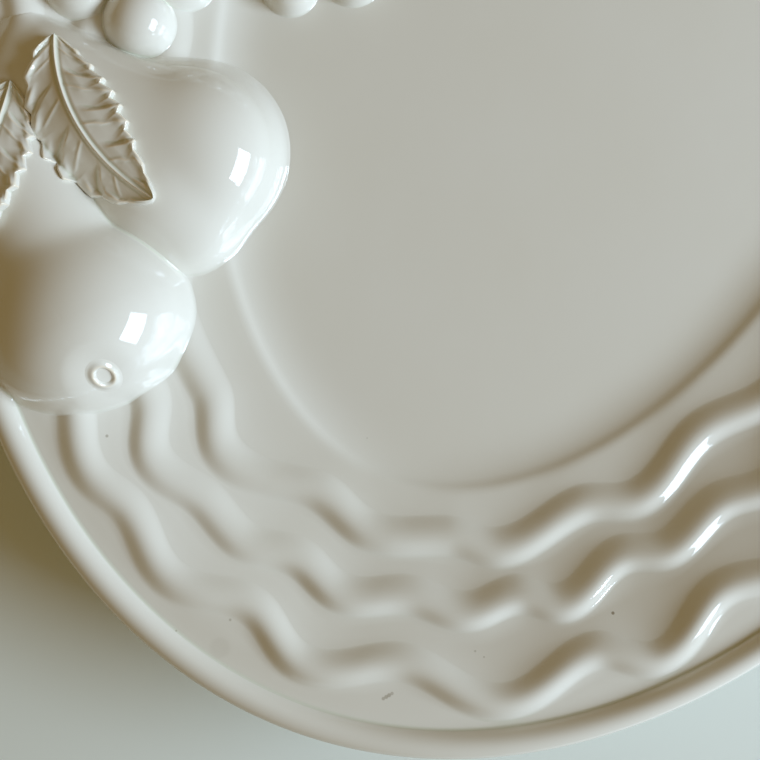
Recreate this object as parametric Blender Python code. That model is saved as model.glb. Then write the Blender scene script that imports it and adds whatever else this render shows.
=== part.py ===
"""Oval earthenware wall plate, cast in one piece.

Three wavy ridges run round the sloping border, a rounded bead ends it, and a swag
of fruit lies down its left side. The back has a foot ring with two wire holes.
The plate hangs upright: +X is to its right, +Z is up, and -Y is out of its face.
The origin is on the foot ring's back face, in the middle of its top.
A lift is a height above the wall, and an inset is a distance in from the outline.
"""
import math

import bmesh
import bpy
from mathutils import Vector

MM = 0.001

# Outline of the plate
HALF_WIDTH = 146 * MM
HALF_HEIGHT = 200.4 * MM
COLUMNS = 146

# Section of the front: bead, border and well
BEAD_WIDTH = 6.6 * MM
BEAD_CREST_LIFT = 29 * MM
BEAD_EDGE_LIFT = 26.3 * MM
BORDER_WIDTH = 63.5 * MM
BORDER_TOP_LIFT = 26.2 * MM
CREASE_START = 60.5 * MM
WELL_FILLET = 11 * MM
# How steeply the front falls at insets in millimetres: level next to the bead, steep in
# the middle of the border, easy again before the crease, and level in the well
SLOPES = (
    (6.6, 0.0), (11.5, 0.0), (18.5, 0.25), (30.0, 0.285), (41.0, 0.26), (52.0, 0.14),
    (60.5, 0.115), (63.4, 0.56), (66.0, 0.29), (70.0, 0.09), (74.5, 0.0),
)

# Section of the back: wall thickness and foot ring
WALL = 6 * MM
FOOT_INSET = 66 * MM
FOOT_WIDTH = 6 * MM
FOOT_DRAFT = 0.8 * MM
WIRE_HOLE_DIAMETER = 3 * MM
WIRE_HOLE_SPACING = 56 * MM
WIRE_HOLE_LIFT = 3 * MM

# Wavy ridges. Each turn is a distance clockwise along the outline from its right-hand
# end and the inset there, both in millimetres. Past them the ridge goes on evenly.
RIDGE_HEIGHT = 2.1 * MM
RIDGE_SHIFT = 0.5 * MM
RIDGE_OUTER_FLANK = 4.6 * MM
RIDGE_INNER_FLANK = 4.6 * MM
RIDGE_GAP = 0.6 * MM
RIDGES = (
    {
        "turns": ((179, 12.3), (196, 19.3), (222, 12.4), (251, 21.2), (278, 15.0),
                  (299, 21.2), (323, 14.3), (342, 17.5), (357, 14.4)),
        "half_wave": 23.0, "low": 13.5, "high": 19.5,
    },
    {
        "turns": ((162, 32.8), (177, 36.5), (199, 31.1), (214, 35.3), (231, 32.7),
                  (251, 35.8), (275, 32.3), (294, 35.3), (316, 30.8), (329, 31.4),
                  (350, 27.4), (369, 33.6)),
        "half_wave": 19.0, "low": 31.0, "high": 35.4,
    },
    {
        "turns": ((161, 46.6), (182, 51.2), (215, 46.9), (238, 50.5), (272, 48.3),
                  (299, 51.1), (340, 41.6), (361, 46.6)),
        "half_wave": 29.0, "low": 46.0, "high": 51.4,
    },
)

# Fruit. Places are right and up from the middle of the oval, in millimetres, and
# turns are the way that the stalk end points, anticlockwise from +X, in degrees.
FRUIT_DEPTH = 0.8
PEARS = (
    {"at": (-80.5, -128.5), "turn": 136, "belly": 24.2, "length": 58, "neck": 11.0},
    {"at": (-74.5, -86), "turn": 170, "belly": 22.4, "length": 54, "neck": 12.0},
    {"at": (-66, 101), "turn": 218, "belly": 23.5, "length": 64, "neck": 9.0},
)
APPLES = (
    {"at": (-88, 51), "turn": 100, "belly": 24.6},
)
# Each grape is given by its place and its radius.
GRAPES = (
    (-94, -57.8, 8.4), (-109.5, -55, 8.6), (-64.8, -34.5, 7.0), (-52, -25.5, 8.4),
    (-90.5, -42.5, 8.6), (-76, -30, 8.6), (-65, -20, 8.6), (-78, -14.5, 8.6),
    (-104, -38.5, 8.6), (-90.5, -26.5, 8.6), (-118, -43, 8.6), (-105, -22.5, 8.6),
    (-93.2, -10.1, 8.4), (-119, -27, 8.6), (-108, -6.5, 8.6), (-120.5, -11, 8.6),
)
# A leaf runs from its stalk end to its tip, with the lifts of both and of its middle.
LEAVES = (
    {"stalk": (-107, -70), "tip": (-73.5, -96.5), "half": 10.3, "lifts": (32, 36, 33.5)},
    {"stalk": (-113, -83), "tip": (-105, -121), "half": 8.5, "lifts": (34, 36, 30)},
    {"stalk": (-118, 8), "tip": (-66, 14), "half": 12.5, "lifts": (34, 30, 17)},
    {"stalk": (-106, 76), "tip": (-108, 117), "half": 10.0, "lifts": (33, 32, 26)},
    {"stalk": (-76, 78), "tip": (-40, 66), "half": 10.5, "lifts": (36, 30, 15)},
    {"stalk": (-58, 126), "tip": (-24, 152), "half": 10.5, "lifts": (33, 30, 22)},
)
LEAF_TEETH = 6
LEAF_BLADE_SAG = 3.2 * MM

# How finely the fruit is faceted, and the space that it is cut to
PEAR_RINGS = 9
APPLE_RINGS = 7
FRUIT_SIDES = 9
GRAPE_RINGS = 5
GRAPE_SIDES = 6
LEAF_STATIONS = 12
SPACE_TOP = 60 * MM
SPACE_INSET = 3.5 * MM
ROOT_LIFT = 2 * MM

# The foot ring's middle at the top is the origin
CENTRE_Z = -(HALF_HEIGHT - FOOT_INSET - FOOT_WIDTH / 2)

GLAZE_COLOUR = (0.80, 0.78, 0.70, 1.0)
GLAZE_ROUGHNESS = 0.12


def place(right, up, lift):
    """A point from its place on the oval and its lift off the wall."""
    return Vector((right, -lift, CENTRE_Z + up))


def outline_table(steps=1440):
    """Distances along the oval, clockwise from its right-hand end, and their angles."""
    distances, angles = [0.0], [0.0]
    last = (HALF_WIDTH, 0.0)
    for i in range(1, steps + 1):
        angle = 2 * math.pi * i / steps
        point = (HALF_WIDTH * math.cos(angle), -HALF_HEIGHT * math.sin(angle))
        distances.append(distances[-1] + math.dist(point, last))
        angles.append(angle)
        last = point
    return distances, angles


DISTANCES, ANGLES = outline_table()
GIRTH = DISTANCES[-1]


def angle_at(distance):
    """The oval's parameter at a distance along its outline."""
    low, high = 0, len(DISTANCES) - 1
    while high - low > 1:
        middle = (low + high) // 2
        if DISTANCES[middle] <= distance:
            low = middle
        else:
            high = middle
    share = (distance - DISTANCES[low]) / (DISTANCES[high] - DISTANCES[low])
    return ANGLES[low] + share * (ANGLES[high] - ANGLES[low])


def inset_point(angle, inset):
    """The point at an inset from the outline, square to it, as right and up."""
    across, along = math.cos(angle) / HALF_WIDTH, -math.sin(angle) / HALF_HEIGHT
    length = math.hypot(across, along)
    return (
        HALF_WIDTH * math.cos(angle) - inset * across / length,
        -HALF_HEIGHT * math.sin(angle) - inset * along / length,
    )


def all_turns(ridge):
    """A ridge's turns in metres all the way round, evenly spaced where none is given."""
    given = [(d * MM, i * MM) for d, i in ridge["turns"]]
    rest = GIRTH - given[-1][0] + given[0][0]
    gaps = round(rest / (ridge["half_wave"] * MM))
    ends_alike = len(given) % 2 == 1
    if (gaps % 2 == 0) != ends_alike:
        gaps += 1
    first_is_low = given[0][1] < given[1][1]
    for step in range(1, gaps):
        low = ((len(given) % 2 == 0) == first_is_low)
        inset = ridge["low"] if low else ridge["high"]
        given.append((given[-1][0] + rest / gaps, inset * MM))
    return given


def wave_inset(turns, distance):
    """The inset of a ridge's crest at a distance along the outline."""
    if distance < turns[0][0]:
        distance += GIRTH
    closed = turns + [(turns[0][0] + GIRTH, turns[0][1])]
    for (start, from_inset), (end, to_inset) in zip(closed, closed[1:]):
        if distance <= end:
            share = (distance - start) / (end - start)
            ease = (1 - math.cos(math.pi * share)) / 2
            return from_inset + ease * (to_inset - from_inset)
    return turns[0][1]


def border_lift(inset):
    """The front of the plain border and well at an inset, summed up from its slopes."""
    lift = BORDER_TOP_LIFT
    for (start, slope), (end, next_slope) in zip(SLOPES, SLOPES[1:]):
        reach = min(inset, end * MM) - start * MM
        if reach <= 0:
            break
        there = slope + (next_slope - slope) * reach / ((end - start) * MM)
        lift -= reach * (slope + there) / 2
    return lift


def inset_of(right, up):
    """The inset of a point, close enough to stand fruit on."""
    best = min(
        math.hypot(x - right, y - up)
        for x, y in (inset_point(2 * math.pi * i / 180, 0.0) for i in range(180))
    )
    return best


def section(distance, ridges):
    """Insets and lifts of one column, from the well's floor out and round to the back."""
    front = [(0.0, BEAD_EDGE_LIFT), (1.3 * MM, BEAD_CREST_LIFT - 1.2 * MM),
             (BEAD_WIDTH / 2, BEAD_CREST_LIFT), (BEAD_WIDTH, BORDER_TOP_LIFT)]
    for turns in ridges:
        crest = wave_inset(turns, distance) + RIDGE_SHIFT
        outer = max(crest - RIDGE_OUTER_FLANK, front[-1][0] + RIDGE_GAP)
        crest = max(crest, outer + RIDGE_GAP)
        inner = crest + RIDGE_INNER_FLANK
        front.append((outer, border_lift(outer)))
        front.append((crest, border_lift(crest) + RIDGE_HEIGHT))
        front.append((inner, border_lift(inner)))
    for inset in (CREASE_START, BORDER_WIDTH, BORDER_WIDTH + 0.3 * WELL_FILLET,
                  BORDER_WIDTH + WELL_FILLET):
        front.append((inset, border_lift(inset)))
    foot_outer, foot_inner = FOOT_INSET, FOOT_INSET + FOOT_WIDTH
    back_top = border_lift(BORDER_WIDTH) - WALL
    back = [(2.2 * MM, BEAD_EDGE_LIFT - 3.4 * MM), (BEAD_WIDTH, BORDER_TOP_LIFT - WALL),
            (foot_outer - FOOT_DRAFT, back_top), (foot_outer, 0.0), (foot_inner, 0.0),
            (foot_inner + FOOT_DRAFT, border_lift(BORDER_WIDTH + WELL_FILLET) - WALL)]
    return front[::-1] + back


def closed_rings(mesh, columns):
    """Joins columns of points into a closed ring of strips, with a flat cap at each end."""
    rows = [[mesh.verts.new(point) for point in column] for column in columns]
    count = len(rows)
    for i in range(count):
        here, beside = rows[i], rows[(i + 1) % count]
        for j in range(len(here) - 1):
            mesh.faces.new((here[j], here[j + 1], beside[j + 1], beside[j]))
    mesh.faces.new([row[0] for row in rows])
    mesh.faces.new([row[-1] for row in reversed(rows)])
    bmesh.ops.recalc_face_normals(mesh, faces=mesh.faces)


def object_of(mesh, name, guide=False):
    """Makes an object of a bmesh. A guide is only read by modifiers."""
    data = bpy.data.meshes.new(name)
    mesh.to_mesh(data)
    mesh.free()
    made = bpy.data.objects.new(name, data)
    bpy.context.scene.collection.objects.link(made)
    if guide:
        made.hide_render = True
        made.display_type = "WIRE"
    return made


def body():
    """The plain plate with its bead, ridges, well and foot ring."""
    ridges = [all_turns(ridge) for ridge in RIDGES]
    columns = []
    for i in range(COLUMNS):
        distance = GIRTH * i / COLUMNS
        angle = angle_at(distance)
        columns.append([
            place(*inset_point(angle, inset), lift)
            for inset, lift in section(distance, ridges)
        ])
    mesh = bmesh.new()
    closed_rings(mesh, columns)
    return object_of(mesh, "plate")


def front_space():
    """The room in front of the middle of the wall, which the fruit is cut to."""
    columns = []
    for i in range(COLUMNS // 2):
        angle = angle_at(GIRTH * i / (COLUMNS // 2))
        well = BORDER_WIDTH + WELL_FILLET
        rows = [(well, border_lift(well) - WALL / 2),
                (BORDER_WIDTH, border_lift(BORDER_WIDTH) - WALL / 2),
                (SPACE_INSET, BORDER_TOP_LIFT - WALL / 2),
                (SPACE_INSET, SPACE_TOP)]
        columns.append([place(*inset_point(angle, inset), lift) for inset, lift in rows])
    mesh = bmesh.new()
    closed_rings(mesh, columns)
    return object_of(mesh, "front_space", guide=True)


def turned_half(name, at, turn, reach, radius_at, rings, sides, depth=FRUIT_DEPTH):
    """Half of a turned fruit, lying on the plate, with its sides carried straight down.

    The axis runs from reach[0] to reach[1] along the turn, and radius_at gives the
    radius at each place on it, nothing at both ends.
    """
    right, up = at[0] * MM, at[1] * MM
    base = border_lift(inset_of(right, up))
    along = Vector((math.cos(math.radians(turn)), math.sin(math.radians(turn))))
    across = Vector((-along.y, along.x))
    mesh = bmesh.new()
    rows = []
    for i in range(1, rings):
        share = (1 - math.cos(math.pi * i / rings)) / 2
        station = reach[0] + share * (reach[1] - reach[0])
        radius = radius_at(station)
        row = []
        for j in range(sides + 1):
            swing = math.pi * j / sides
            flat = Vector((right, up)) + along * station + across * radius * math.cos(swing)
            row.append(mesh.verts.new(place(*flat, base + depth * radius * math.sin(swing))))
        row.append(mesh.verts.new(place(*(Vector((right, up)) + along * station
                                          - across * radius), ROOT_LIFT)))
        row.append(mesh.verts.new(place(*(Vector((right, up)) + along * station
                                          + across * radius), ROOT_LIFT)))
        rows.append(row)
    for here, beside in zip(rows, rows[1:]):
        for j in range(len(here)):
            k = (j + 1) % len(here)
            mesh.faces.new((here[j], here[k], beside[k], beside[j]))
    for row, station in ((rows[0], reach[0]), (rows[-1], reach[1])):
        flat = Vector((right, up)) + along * station
        tip = mesh.verts.new(place(*flat, base))
        root = mesh.verts.new(place(*flat, ROOT_LIFT))
        for j in range(sides):
            mesh.faces.new((row[j], row[j + 1], tip))
        mesh.faces.new((row[sides], row[sides + 1], root, tip))
        mesh.faces.new((row[sides + 1], row[sides + 2], root))
        mesh.faces.new((row[sides + 2], row[0], tip, root))
    bmesh.ops.recalc_face_normals(mesh, faces=mesh.faces)
    return object_of(mesh, name, guide=True)


def pear(name, size):
    """A pear: a round belly that runs into a narrower neck."""
    belly, neck, length = size["belly"] * MM, size["neck"] * MM, size["length"] * MM
    head = length - belly

    def radius_at(station):
        if station <= 0:
            return belly * math.sqrt(max(1 - (station / belly) ** 2, 0))
        round_end = neck * math.sqrt(max(1 - max(station - head + neck, 0) ** 2 / neck ** 2, 0))
        share = min(station / (head - neck), 1)
        taper = belly + (neck - belly) * (3 * share ** 2 - 2 * share ** 3)
        return min(taper, round_end) if station > head - neck else taper

    return turned_half(name, size["at"], size["turn"], (-belly, head), radius_at,
                       PEAR_RINGS, FRUIT_SIDES)


def apple(name, size):
    """An apple: a ball, a little wider at its stalk end."""
    belly = size["belly"] * MM

    def radius_at(station):
        share = station / belly
        return belly * math.sqrt(max(1 - share ** 2, 0)) * (1 + 0.08 * share)

    return turned_half(name, size["at"], size["turn"], (-belly, belly), radius_at,
                       APPLE_RINGS, FRUIT_SIDES)


def grape(name, at):
    """A single grape."""
    radius = at[2] * MM

    def radius_at(station):
        return math.sqrt(max(radius ** 2 - station ** 2, 0))

    return turned_half(name, at, 90, (-radius, radius), radius_at,
                       GRAPE_RINGS, GRAPE_SIDES, depth=1.1)


def leaf(name, size):
    """A toothed leaf with a sunk midrib, standing up from the plate."""
    stalk, tip = Vector(size["stalk"]) * MM, Vector(size["tip"]) * MM
    along = (tip - stalk).normalized()
    across = Vector((-along.y, along.x))
    length = (tip - stalk).length
    stalk_lift, middle_lift, tip_lift = (lift * MM for lift in size["lifts"])
    mesh = bmesh.new()
    rows = []
    for i in range(LEAF_STATIONS + 1):
        share = i / LEAF_STATIONS
        width = size["half"] * MM * math.sin(math.pi * share ** 0.8) ** 0.75
        width = max(width, 0.8 * MM)
        if i % 2 == 1:
            width *= 1.12
        lift = ((1 - share) * (1 - 2 * share) * stalk_lift + 4 * share * (1 - share) * middle_lift
                + share * (2 * share - 1) * tip_lift)
        spine = stalk + along * length * share
        swell = 0.9 * MM * math.sin(math.pi * share)
        row = []
        for side, drop in ((-1, LEAF_BLADE_SAG), (-0.5, -swell), (0, 0), (0.5, -swell),
                           (1, LEAF_BLADE_SAG)):
            flat = spine + across * side * width
            fall = drop * (width / (size["half"] * MM)) ** 2 if drop > 0 else drop
            row.append(mesh.verts.new(place(*flat, lift - fall)))
        row.append(mesh.verts.new(place(*(spine + across * width), ROOT_LIFT)))
        row.append(mesh.verts.new(place(*(spine - across * width), ROOT_LIFT)))
        rows.append(row)
    for here, beside in zip(rows, rows[1:]):
        for j in range(len(here)):
            k = (j + 1) % len(here)
            mesh.faces.new((here[j], here[k], beside[k], beside[j]))
    mesh.faces.new(rows[0])
    mesh.faces.new(rows[-1])
    bmesh.ops.recalc_face_normals(mesh, faces=mesh.faces)
    return object_of(mesh, name, guide=True)


def wire_hole(name, right):
    """A drill through the top of the foot ring, running up and down."""
    sides = 12
    radius = WIRE_HOLE_DIAMETER / 2
    mesh = bmesh.new()
    bmesh.ops.create_cone(mesh, cap_ends=True, segments=sides, radius1=radius,
                          radius2=radius, depth=30 * MM)
    made = object_of(mesh, name, guide=True)
    angle = -math.acos(right / (HALF_WIDTH - FOOT_INSET))
    top = inset_point(angle, FOOT_INSET + FOOT_WIDTH / 2)
    made.location = place(*top, WIRE_HOLE_LIFT)
    return made


def boolean(target, operand, operation):
    """Adds a Boolean modifier that reads another object."""
    cut = target.modifiers.new(operand.name, "BOOLEAN")
    cut.operation = operation
    cut.solver = "EXACT"
    cut.object = operand


def glaze():
    """Cream-white earthenware under a clear glaze."""
    made = bpy.data.materials.new("cream_glaze")
    made.use_nodes = True
    shader = made.node_tree.nodes["Principled BSDF"]
    shader.inputs["Base Color"].default_value = GLAZE_COLOUR
    shader.inputs["Roughness"].default_value = GLAZE_ROUGHNESS
    shader.inputs["Metallic"].default_value = 0.0
    return made


def main():
    """Builds the plate and joins the fruit to it as one cast piece."""
    for old in list(bpy.data.objects):
        bpy.data.objects.remove(old, do_unlink=True)
    plate = body()
    space = front_space()
    relief = [pear(f"pear_{i + 1}", size) for i, size in enumerate(PEARS)]
    relief += [apple(f"apple_{i + 1}", size) for i, size in enumerate(APPLES)]
    relief += [grape(f"grape_{i + 1}", at) for i, at in enumerate(GRAPES)]
    relief += [leaf(f"leaf_{i + 1}", size) for i, size in enumerate(LEAVES)]
    for lump in relief:
        boolean(lump, space, "INTERSECT")
        boolean(plate, lump, "UNION")
    for side in (-1, 1):
        hole = wire_hole(f"wire_hole_{side + 2}", side * WIRE_HOLE_SPACING / 2)
        boolean(plate, hole, "DIFFERENCE")
    plate.data.materials.append(glaze())


main()
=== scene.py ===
"""Oval wall plate with a swag of fruit, in cream-white glazed earthenware.

The plate is slip-cast in one piece. Here its front, back and foot ring are one fine
mesh, and each fruit and leaf of the swag is a closed mesh that grows out of it with a
soft joint, as thick glaze leaves one. Sizes are in millimetres until a mesh is made.
A lift is a height off the wall, an inset is a distance in from the oval's outline, and
right and up are measured from the oval's middle.
"""
from __future__ import annotations

import logging
import math
from dataclasses import dataclass
from functools import cached_property

import bpy
import numpy as np
from mathutils import Euler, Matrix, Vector


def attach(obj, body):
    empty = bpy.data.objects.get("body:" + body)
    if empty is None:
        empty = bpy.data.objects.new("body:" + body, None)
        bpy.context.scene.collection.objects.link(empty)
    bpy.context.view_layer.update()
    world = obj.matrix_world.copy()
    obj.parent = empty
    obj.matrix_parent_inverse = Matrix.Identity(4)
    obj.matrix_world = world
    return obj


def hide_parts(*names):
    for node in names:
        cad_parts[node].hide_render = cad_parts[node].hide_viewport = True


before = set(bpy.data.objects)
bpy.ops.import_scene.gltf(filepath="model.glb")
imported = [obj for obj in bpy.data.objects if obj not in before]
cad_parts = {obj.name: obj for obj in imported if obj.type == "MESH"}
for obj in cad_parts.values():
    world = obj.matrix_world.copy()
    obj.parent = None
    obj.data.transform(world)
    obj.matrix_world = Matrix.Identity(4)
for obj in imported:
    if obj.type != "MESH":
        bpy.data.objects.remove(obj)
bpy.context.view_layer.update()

LOG = logging.getLogger("wall_plate")
MM = 0.001
NODE = "plate"
# Points of a skin that are nearer than this, in metres, become one.
MERGE_GAP = 2e-6
# How far under the plain front the undersides of fruit and leaves lie.
UNDERSIDE = 2.5


def smooth_step(low: float, high: float, value: np.ndarray) -> np.ndarray:
    """Eases from 0 at low to 1 at high."""
    share = np.clip((value - low) / (high - low), 0.0, 1.0)
    return share * share * (3.0 - 2.0 * share)


def arc(turns: tuple[float, ...]) -> list[tuple[float, float]]:
    """Sine and cosine of each turn, which is in degrees."""
    return [(math.sin(math.radians(turn)), math.cos(math.radians(turn))) for turn in turns]


def soft_max(one: np.ndarray, other: np.ndarray, reach: float | np.ndarray) -> np.ndarray:
    """The higher of two surfaces, with a rounded joint where they meet.

    Args:
        one: lifts of the first surface.
        other: lifts of the second surface.
        reach: how far apart in lift the two still feel each other.

    Returns:
        Lifts of the joined surface.
    """
    near = np.clip(1.0 - np.abs(one - other) / reach, 0.0, 1.0)
    return np.maximum(one, other) + 0.25 * reach * near * near


@dataclass(frozen=True)
class Oval:
    """The plate's outline and the curves that run inside it at a constant distance."""

    half_width: float = 146.0
    half_height: float = 200.4
    foot_inset: float = 69.0
    steps: int = 4096

    @property
    def centre_z(self) -> float:
        """Height of the oval's middle over the wall mount, which is at the ring's top."""
        return -(self.half_height - self.foot_inset)

    def distances(self) -> np.ndarray:
        """Distances along the outline at evenly spaced angles, clockwise from the right."""
        angle = np.linspace(0.0, 2.0 * math.pi, self.steps + 1)
        across = self.half_width * np.cos(angle)
        up = -self.half_height * np.sin(angle)
        return np.concatenate([[0.0], np.cumsum(np.hypot(np.diff(across), np.diff(up)))])

    @property
    def girth(self) -> float:
        """Length of the outline."""
        return float(self.distances()[-1])

    def angle_at(self, distance: np.ndarray) -> np.ndarray:
        """The oval's angle at distances along its outline."""
        angles = np.linspace(0.0, 2.0 * math.pi, self.steps + 1)
        return np.interp(np.mod(distance, self.girth), self.distances(), angles)

    def point(self, angle: np.ndarray, inset: np.ndarray) -> tuple[np.ndarray, np.ndarray]:
        """Right and up of points at an inset, square to the outline."""
        across = np.cos(angle) / self.half_width
        along = -np.sin(angle) / self.half_height
        length = np.hypot(across, along)
        right = self.half_width * np.cos(angle) - inset * across / length
        up = -self.half_height * np.sin(angle) - inset * along / length
        return right, up

    def nearest(self, right: np.ndarray, up: np.ndarray) -> tuple[np.ndarray, np.ndarray]:
        """The angle of the outline's nearest point, and the inset from it.

        Args:
            right: places to the right of the middle.
            up: places above the middle.

        Returns:
            The angles and the insets.
        """
        a, b = self.half_width, self.half_height
        angle = np.arctan2(-up / b, right / a)
        for _ in range(12):
            cos, sin = np.cos(angle), np.sin(angle)
            off_x, off_y = a * cos - right, -b * sin - up
            slope = off_x * (-a * sin) + off_y * (-b * cos)
            bend = a * a * sin * sin + b * b * cos * cos - off_x * a * cos + off_y * b * sin
            step = slope / np.where(np.abs(bend) < 1e-6, 1e-6, bend)
            angle = angle - np.clip(step, -0.25, 0.25)
        x, y = a * np.cos(angle), -b * np.sin(angle)
        inside = (right / a) ** 2 + (up / b) ** 2 <= 1.0
        return angle, np.hypot(x - right, y - up) * np.where(inside, 1.0, -1.0)


@dataclass(frozen=True)
class Ridge:
    """A wavy ridge round the border, given by the places where it turns."""

    turns: tuple[tuple[float, float], ...]
    half_wave: float
    low: float
    high: float
    shift: float = 0.5
    rise: float = 2.1
    outer_flank: float = 5.0
    inner_flank: float = 4.6
    outer_power: float = 1.75
    inner_power: float = 1.6
    tail: float = 12.0
    tail_share: float = 0.3
    strengths: tuple[tuple[float, float], ...] = (
        (0.0, 1.0), (120.0, 1.1), (262.0, 1.15), (322.0, 0.8), (380.0, 0.8), (470.0, 1.0),
        (1000.0, 1.0),
    )

    def knots(self, girth: float) -> np.ndarray:
        """Every turn of the ridge all the way round, evenly spaced where none is given."""
        given = [list(turn) for turn in self.turns]
        rest = girth - given[-1][0] + given[0][0]
        gaps = round(rest / self.half_wave)
        ends_alike = len(given) % 2 == 1
        if (gaps % 2 == 0) != ends_alike:
            gaps += 1
        first_is_low = given[0][1] < given[1][1]
        for _ in range(1, gaps):
            low = (len(given) % 2 == 0) == first_is_low
            given.append([given[-1][0] + rest / gaps, self.low if low else self.high])
        given.append([given[0][0] + girth, given[0][1]])
        return np.array(given)

    def crest(self, distance: np.ndarray, girth: float) -> np.ndarray:
        """Insets of the crest at distances along the outline."""
        knots = self.knots(girth)
        along = np.mod(distance - knots[0, 0], girth) + knots[0, 0]
        index = np.clip(np.searchsorted(knots[:, 0], along, side="right") - 1, 0, len(knots) - 2)
        share = (along - knots[index, 0]) / (knots[index + 1, 0] - knots[index, 0])
        ease = 0.5 - 0.5 * np.cos(math.pi * share)
        return knots[index, 1] + ease * (knots[index + 1, 1] - knots[index, 1]) + self.shift

    def strength(self, distance: np.ndarray, girth: float) -> np.ndarray:
        """How much taller or lower than usual the ridge is at distances on the outline."""
        places, factors = np.array(self.strengths).T
        return np.interp(np.mod(distance, girth), places, factors)

    def stretch(self, distance: np.ndarray, girth: float) -> np.ndarray:
        """How much wider the ridge is cut by an inset line than by a line square to it."""
        slope = (self.crest(distance + 0.5, girth) - self.crest(distance - 0.5, girth))
        return np.sqrt(1.0 + slope * slope)

    def height(self, across: np.ndarray, stretch: np.ndarray) -> np.ndarray:
        """Lift of the ridge over the border.

        Each flank is a soft round. The inner one goes on into a long, low tail.

        Args:
            across: distances in from the crest.
            stretch: how much wider the ridge is cut there.

        Returns:
            The lifts.
        """
        outward = np.clip(-across / (self.outer_flank * stretch), 0.0, 1.0)
        inward = np.clip(across / (self.inner_flank * stretch), 0.0, 1.0)
        outer = (1.0 - outward ** 2) ** self.outer_power
        slow = 1.0 - smooth_step(0.0, self.tail, across / stretch)
        full = (1.0 - inward ** 2) ** self.inner_power
        inner = (1.0 - self.tail_share) * full + self.tail_share * slow
        return self.rise * np.where(across < 0.0, outer, inner)


@dataclass(frozen=True)
class Section:
    """The plate's section, from the bead over the border to the well, and the back."""

    bead_width: float = 6.6
    bead_rise: float = 2.8
    bead_joint: float = 1.0
    bead_outer_power: float = 0.5
    bead_inner_power: float = 0.72
    bead_fall: float = 8.0
    top_lift: float = 26.2
    slopes: tuple[tuple[float, float], ...] = (
        (0.0, 0.0), (11.5, 0.0), (18.5, 0.25), (30.0, 0.285), (41.0, 0.26), (52.0, 0.14),
        (60.5, 0.115), (62.0, 0.32), (63.2, 0.62), (64.4, 0.34), (67.0, 0.19), (71.0, 0.06),
        (75.0, 0.0), (200.0, 0.0),
    )
    easing: float = 1.0
    crease_start: float = 61.5
    well_start: float = 77.0
    wall: float = 6.0
    foot_outer: float = 66.0
    foot_width: float = 6.0
    foot_draft: float = 0.8
    foot_round: float = 1.3
    foot_root: float = 2.6
    foot_lead: float = 0.3
    foot_flare: float = 0.4

    @cached_property
    def table(self) -> tuple[np.ndarray, np.ndarray]:
        """Insets and lifts of the plain front, from its eased slopes."""
        step = 0.05
        inset = np.arange(-4.0, 150.0, step)
        knots = np.array(self.slopes)
        slope = np.interp(inset, knots[:, 0], knots[:, 1])
        half = int(round(self.easing / step / 2.0))
        window = np.hanning(2 * half + 3)[1:-1]
        padded = np.pad(slope, half, mode="edge")
        slope = np.convolve(padded, window / window.sum(), mode="valid")
        drop = np.concatenate([[0.0], np.cumsum(0.5 * (slope[1:] + slope[:-1]) * step)])
        return inset, self.top_lift - drop

    def plain(self, inset: np.ndarray) -> np.ndarray:
        """Lift of the front with no bead, ridges or fruit."""
        return np.interp(np.asarray(inset, float), *self.table)

    def bead(self, inset: np.ndarray) -> np.ndarray:
        """Lift of the rolled bead, low where there is none."""
        half = 0.5 * self.bead_width
        across = (np.asarray(inset, float) - half) / half
        power = np.where(across > 0.0, self.bead_inner_power, self.bead_outer_power)
        return self.top_lift + np.where(
            np.abs(across) < 1.0,
            self.bead_rise * np.clip(1.0 - across * across, 0.0, 1.0) ** power,
            -self.bead_fall * (np.abs(across) - 1.0) * half,
        )


class Relief:
    """The whole plain front: section and ridges together."""

    def __init__(self, oval: Oval, section: Section, ridges: tuple[Ridge, ...]) -> None:
        """Keeps the parts that the surface is made of.

        Args:
            oval: the plate's outline.
            section: its section.
            ridges: the wavy ridges, outermost first.
        """
        self.oval = oval
        self.section = section
        self.ridges = ridges
        self.girth = oval.girth
        self.angles = np.linspace(0.0, 2.0 * math.pi, oval.steps + 1)
        self.lengths = oval.distances()

    def lift_at(self, distance: np.ndarray, inset: np.ndarray) -> np.ndarray:
        """Lift of the front at distances along the outline and insets from it."""
        lift = self.section.plain(inset)
        for ridge in self.ridges:
            across = inset - ridge.crest(distance, self.girth)
            height = ridge.height(across, ridge.stretch(distance, self.girth))
            lift = lift + height * ridge.strength(distance, self.girth)
        inner_half = inset > 0.5 * self.section.bead_width
        joined = soft_max(lift, self.section.bead(inset), self.section.bead_joint)
        outer = np.maximum(self.section.bead(inset), self.section.top_lift)
        return np.where(inner_half, joined, outer)

    def lift(self, right: np.ndarray, up: np.ndarray) -> np.ndarray:
        """Lift of the front at places on the plate."""
        angle, inset = self.oval.nearest(right, up)
        distance = np.interp(np.mod(angle, 2.0 * math.pi), self.angles, self.lengths)
        return self.lift_at(distance, inset)

    def plain(self, right: np.ndarray, up: np.ndarray) -> np.ndarray:
        """Lift of the front without its ridges."""
        return self.section.plain(self.oval.nearest(right, up)[1])


def world_points(right: np.ndarray, up: np.ndarray, lift: np.ndarray, oval: Oval) -> np.ndarray:
    """Places on the plate as points in metres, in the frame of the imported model."""
    stacked = np.stack([right, -lift, up + oval.centre_z], axis=-1)
    return stacked.reshape(-1, 3) * MM


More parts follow.
